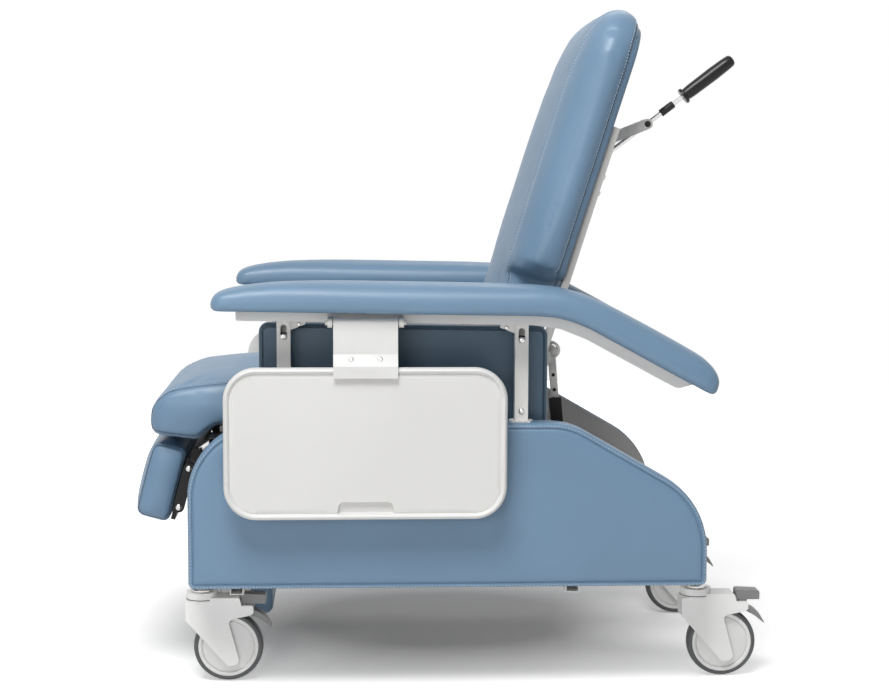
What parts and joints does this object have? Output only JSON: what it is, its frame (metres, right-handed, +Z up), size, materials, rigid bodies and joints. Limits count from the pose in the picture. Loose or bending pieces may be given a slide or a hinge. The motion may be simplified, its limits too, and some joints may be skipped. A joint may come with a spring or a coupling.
{
  "type": "medical recliner",
  "caption": "Mobile clinical recliner with vinyl cushions, coupled leg rest, drop arms, fold-up side trays, rear release lever and braked swivel casters.",
  "frame": {"origin": "on the floor under the centre of the bounding box", "axes": "+Z up, -X the way the sitter faces, +Y to the sitter's right"},
  "size_m": [1.158, 0.82, 1.2235],
  "materials": {
    "vinyl": "satin",
    "board": "matte",
    "off_white_plastic": "satin",
    "off_white_paint": "satin",
    "wheel": "matte",
    "black_plastic": "matte",
    "grip": "matte",
    "black_steel": "satin",
    "bright_steel": "polished",
    "frame_paint": "satin"
  },
  "bodies": {
    "base": {"side_board_left": "board", "side_board_right": "board", "side_panel_left": "vinyl", "side_panel_right": "vinyl", "caster_rail_left": "frame_paint", "caster_rail_right": "frame_paint", "lower_cross_front": "frame_paint", "lower_cross_rear": "frame_paint", "seat_cross_front": "black_steel", "seat_cross_rear": "frame_paint", "seat_board": "board", "seat_cushion": "vinyl", "front_apron": "vinyl", "post_guide_front_left": "off_white_plastic", "post_guide_front_right": "off_white_plastic", "post_guide_rear_left": "off_white_plastic", "post_guide_rear_right": "off_white_plastic"},
    "back": {"back_cushion": "vinyl", "back_board": "board", "back_upright_left": "frame_paint", "back_upright_right": "frame_paint", "handle_bracket": "frame_paint"},
    "release_lever": {"release_rod": "bright_steel", "release_grip": "grip"},
    "strut_lower": {"strut_tube": "black_steel"},
    "strut_upper": {"strut_bar": "frame_paint"},
    "leg_rear_link": {"leg_link_rear": "black_steel"},
    "leg_front_link": {"leg_link_front": "black_steel"},
    "legrest": {"legrest_board": "black_steel", "legrest_pad": "vinyl"},
    "arm_left": {"arm_rail_left": "frame_paint", "arm_pad_left": "vinyl", "arm_inner_panel_left": "vinyl", "arm_post_front_left": "frame_paint", "arm_post_rear_left": "frame_paint"},
    "arm_right": {"arm_rail_right": "frame_paint", "arm_pad_right": "vinyl", "arm_inner_panel_right": "vinyl", "arm_post_front_right": "frame_paint", "arm_post_rear_right": "frame_paint"},
    "tray_left": {"tray_top_left": "off_white_plastic", "tray_bracket_left": "off_white_paint"},
    "tray_right": {"tray_top_right": "off_white_plastic", "tray_bracket_right": "off_white_paint"},
    "arm_latch_body_front_left": {"arm_latch_front_left": "bright_steel"},
    "arm_latch_body_rear_left": {"arm_latch_rear_left": "bright_steel"},
    "arm_latch_body_front_right": {"arm_latch_front_right": "bright_steel"},
    "arm_latch_body_rear_right": {"arm_latch_rear_right": "bright_steel"},
    "caster_swivel_front_left": {"caster_fork_front_left": "off_white_plastic"},
    "caster_spin_front_left": {"caster_wheel_front_left": "wheel"},
    "caster_brake_front_left": {"caster_pedal_front_left": "black_plastic"},
    "caster_swivel_front_right": {"caster_fork_front_right": "off_white_plastic"},
    "caster_spin_front_right": {"caster_wheel_front_right": "wheel"},
    "caster_brake_front_right": {"caster_pedal_front_right": "black_plastic"},
    "caster_swivel_rear_left": {"caster_fork_rear_left": "off_white_plastic"},
    "caster_spin_rear_left": {"caster_wheel_rear_left": "wheel"},
    "caster_brake_rear_left": {"caster_pedal_rear_left": "black_plastic"},
    "caster_swivel_rear_right": {"caster_fork_rear_right": "off_white_plastic"},
    "caster_spin_rear_right": {"caster_wheel_rear_right": "wheel"},
    "caster_brake_rear_right": {"caster_pedal_rear_right": "black_plastic"}
  },
  "joints": [
    {"name": "back_recline", "type": "hinge", "parent": "base", "child": "back", "pos_m": [0.14, 0, 0.556], "axis": [0, 1, 0], "range_deg": [0, 60]},
    {"name": "strut_swing", "type": "hinge", "parent": "base", "child": "strut_lower", "pos_m": [0.216, -0.172, 0.262], "axis": [0, 1, 0], "range_deg": [0, 3.15]},
    {"name": "strut_stroke", "type": "slide", "parent": "strut_lower", "child": "strut_upper", "axis": [0.0855, 0, -0.9963], "range_m": [0, 0.0637]},
    {"name": "leg_rear_link_turn", "type": "hinge", "parent": "base", "child": "leg_rear_link", "pos_m": [-0.468, 0, 0.412], "axis": [0, 1, 0], "range_deg": [0, 105.5]},
    {"name": "leg_front_link_turn", "type": "hinge", "parent": "leg_rear_link", "child": "leg_front_link", "pos_m": [-0.36, 0, 0.245], "axis": [0, 1, 0], "range_deg": [-136.5, 0]},
    {"name": "legrest_tilt", "type": "hinge", "parent": "leg_front_link", "child": "legrest", "pos_m": [-0.4805, 0, 0.387], "axis": [0, 1, 0], "range_deg": [0, 103.5]},
    {"name": "release_lever_pull", "type": "hinge", "parent": "back", "child": "release_lever", "pos_m": [0.3875, 0, 1.0205], "axis": [0, 1, 0], "range_deg": [0, 10], "stiffness_Nm_per_rad": 6, "springref_deg": -11.46},
    {"name": "tray_fold_left", "type": "hinge", "parent": "arm_left", "child": "tray_left", "pos_m": [-0.159, -0.385, 0.668], "axis": [-1, 0, 0], "range_deg": [0, 90]},
    {"name": "tray_fold_right", "type": "hinge", "parent": "arm_right", "child": "tray_right", "pos_m": [-0.159, 0.385, 0.668], "axis": [1, 0, 0], "range_deg": [0, 90]},
    {"name": "arm_drop_left", "type": "slide", "parent": "base", "child": "arm_left", "axis": [0, 0, -1], "range_m": [0, 0.13]},
    {"name": "arm_latch_front_left", "type": "slide", "parent": "arm_left", "child": "arm_latch_body_front_left", "axis": [0, 0, 1], "range_m": [0, 0.012], "stiffness_N_per_m": 600, "springref_m": -0.006},
    {"name": "arm_latch_rear_left", "type": "slide", "parent": "arm_left", "child": "arm_latch_body_rear_left", "axis": [0, 0, 1], "range_m": [0, 0.012], "stiffness_N_per_m": 600, "springref_m": -0.006},
    {"name": "arm_drop_right", "type": "slide", "parent": "base", "child": "arm_right", "axis": [0, 0, -1], "range_m": [0, 0.13]},
    {"name": "arm_latch_front_right", "type": "slide", "parent": "arm_right", "child": "arm_latch_body_front_right", "axis": [0, 0, 1], "range_m": [0, 0.012], "stiffness_N_per_m": 600, "springref_m": -0.006},
    {"name": "arm_latch_rear_right", "type": "slide", "parent": "arm_right", "child": "arm_latch_body_rear_right", "axis": [0, 0, 1], "range_m": [0, 0.012], "stiffness_N_per_m": 600, "springref_m": -0.006},
    {"name": "caster_swivel_front_left", "type": "hinge", "parent": "base", "child": "caster_swivel_front_left", "pos_m": [-0.457, -0.24, 0.165], "axis": [0, 0, 1], "continuous": true},
    {"name": "caster_spin_front_left", "type": "hinge", "parent": "caster_swivel_front_left", "child": "caster_spin_front_left", "pos_m": [-0.409, -0.24, 0.0635], "axis": [0, 1, 0], "continuous": true},
    {"name": "caster_brake_front_left", "type": "hinge", "parent": "caster_swivel_front_left", "child": "caster_brake_front_left", "pos_m": [-0.372, -0.24, 0.137], "axis": [0, 1, 0], "range_deg": [0, 12]},
    {"name": "caster_swivel_front_right", "type": "hinge", "parent": "base", "child": "caster_swivel_front_right", "pos_m": [-0.457, 0.24, 0.165], "axis": [0, 0, 1], "continuous": true},
    {"name": "caster_spin_front_right", "type": "hinge", "parent": "caster_swivel_front_right", "child": "caster_spin_front_right", "pos_m": [-0.409, 0.24, 0.0635], "axis": [0, 1, 0], "continuous": true},
    {"name": "caster_brake_front_right", "type": "hinge", "parent": "caster_swivel_front_right", "child": "caster_brake_front_right", "pos_m": [-0.372, 0.24, 0.137], "axis": [0, 1, 0], "range_deg": [0, 12]},
    {"name": "caster_swivel_rear_left", "type": "hinge", "parent": "base", "child": "caster_swivel_rear_left", "pos_m": [0.452, -0.24, 0.165], "axis": [0, 0, 1], "continuous": true},
    {"name": "caster_spin_rear_left", "type": "hinge", "parent": "caster_swivel_rear_left", "child": "caster_spin_rear_left", "pos_m": [0.5, -0.24, 0.0635], "axis": [0, 1, 0], "continuous": true},
    {"name": "caster_brake_rear_left", "type": "hinge", "parent": "caster_swivel_rear_left", "child": "caster_brake_rear_left", "pos_m": [0.537, -0.24, 0.137], "axis": [0, 1, 0], "range_deg": [0, 12]},
    {"name": "caster_swivel_rear_right", "type": "hinge", "parent": "base", "child": "caster_swivel_rear_right", "pos_m": [0.452, 0.24, 0.165], "axis": [0, 0, 1], "continuous": true},
    {"name": "caster_spin_rear_right", "type": "hinge", "parent": "caster_swivel_rear_right", "child": "caster_spin_rear_right", "pos_m": [0.5, 0.24, 0.0635], "axis": [0, 1, 0], "continuous": true},
    {"name": "caster_brake_rear_right", "type": "hinge", "parent": "caster_swivel_rear_right", "child": "caster_brake_rear_right", "pos_m": [0.537, 0.24, 0.137], "axis": [0, 1, 0], "range_deg": [0, 12]}
  ],
  "couplings": [
    {"joint": "strut_swing", "follows": "back_recline", "ratio": 0.05},
    {"joint": "strut_stroke", "follows": "back_recline", "m_per_rad": 0.05959},
    {"joint": "leg_rear_link_turn", "follows": "back_recline", "ratio": 1.75},
    {"joint": "leg_front_link_turn", "follows": "back_recline", "ratio": -2.2667},
    {"joint": "legrest_tilt", "follows": "back_recline", "ratio": 1.7167}
  ]
}
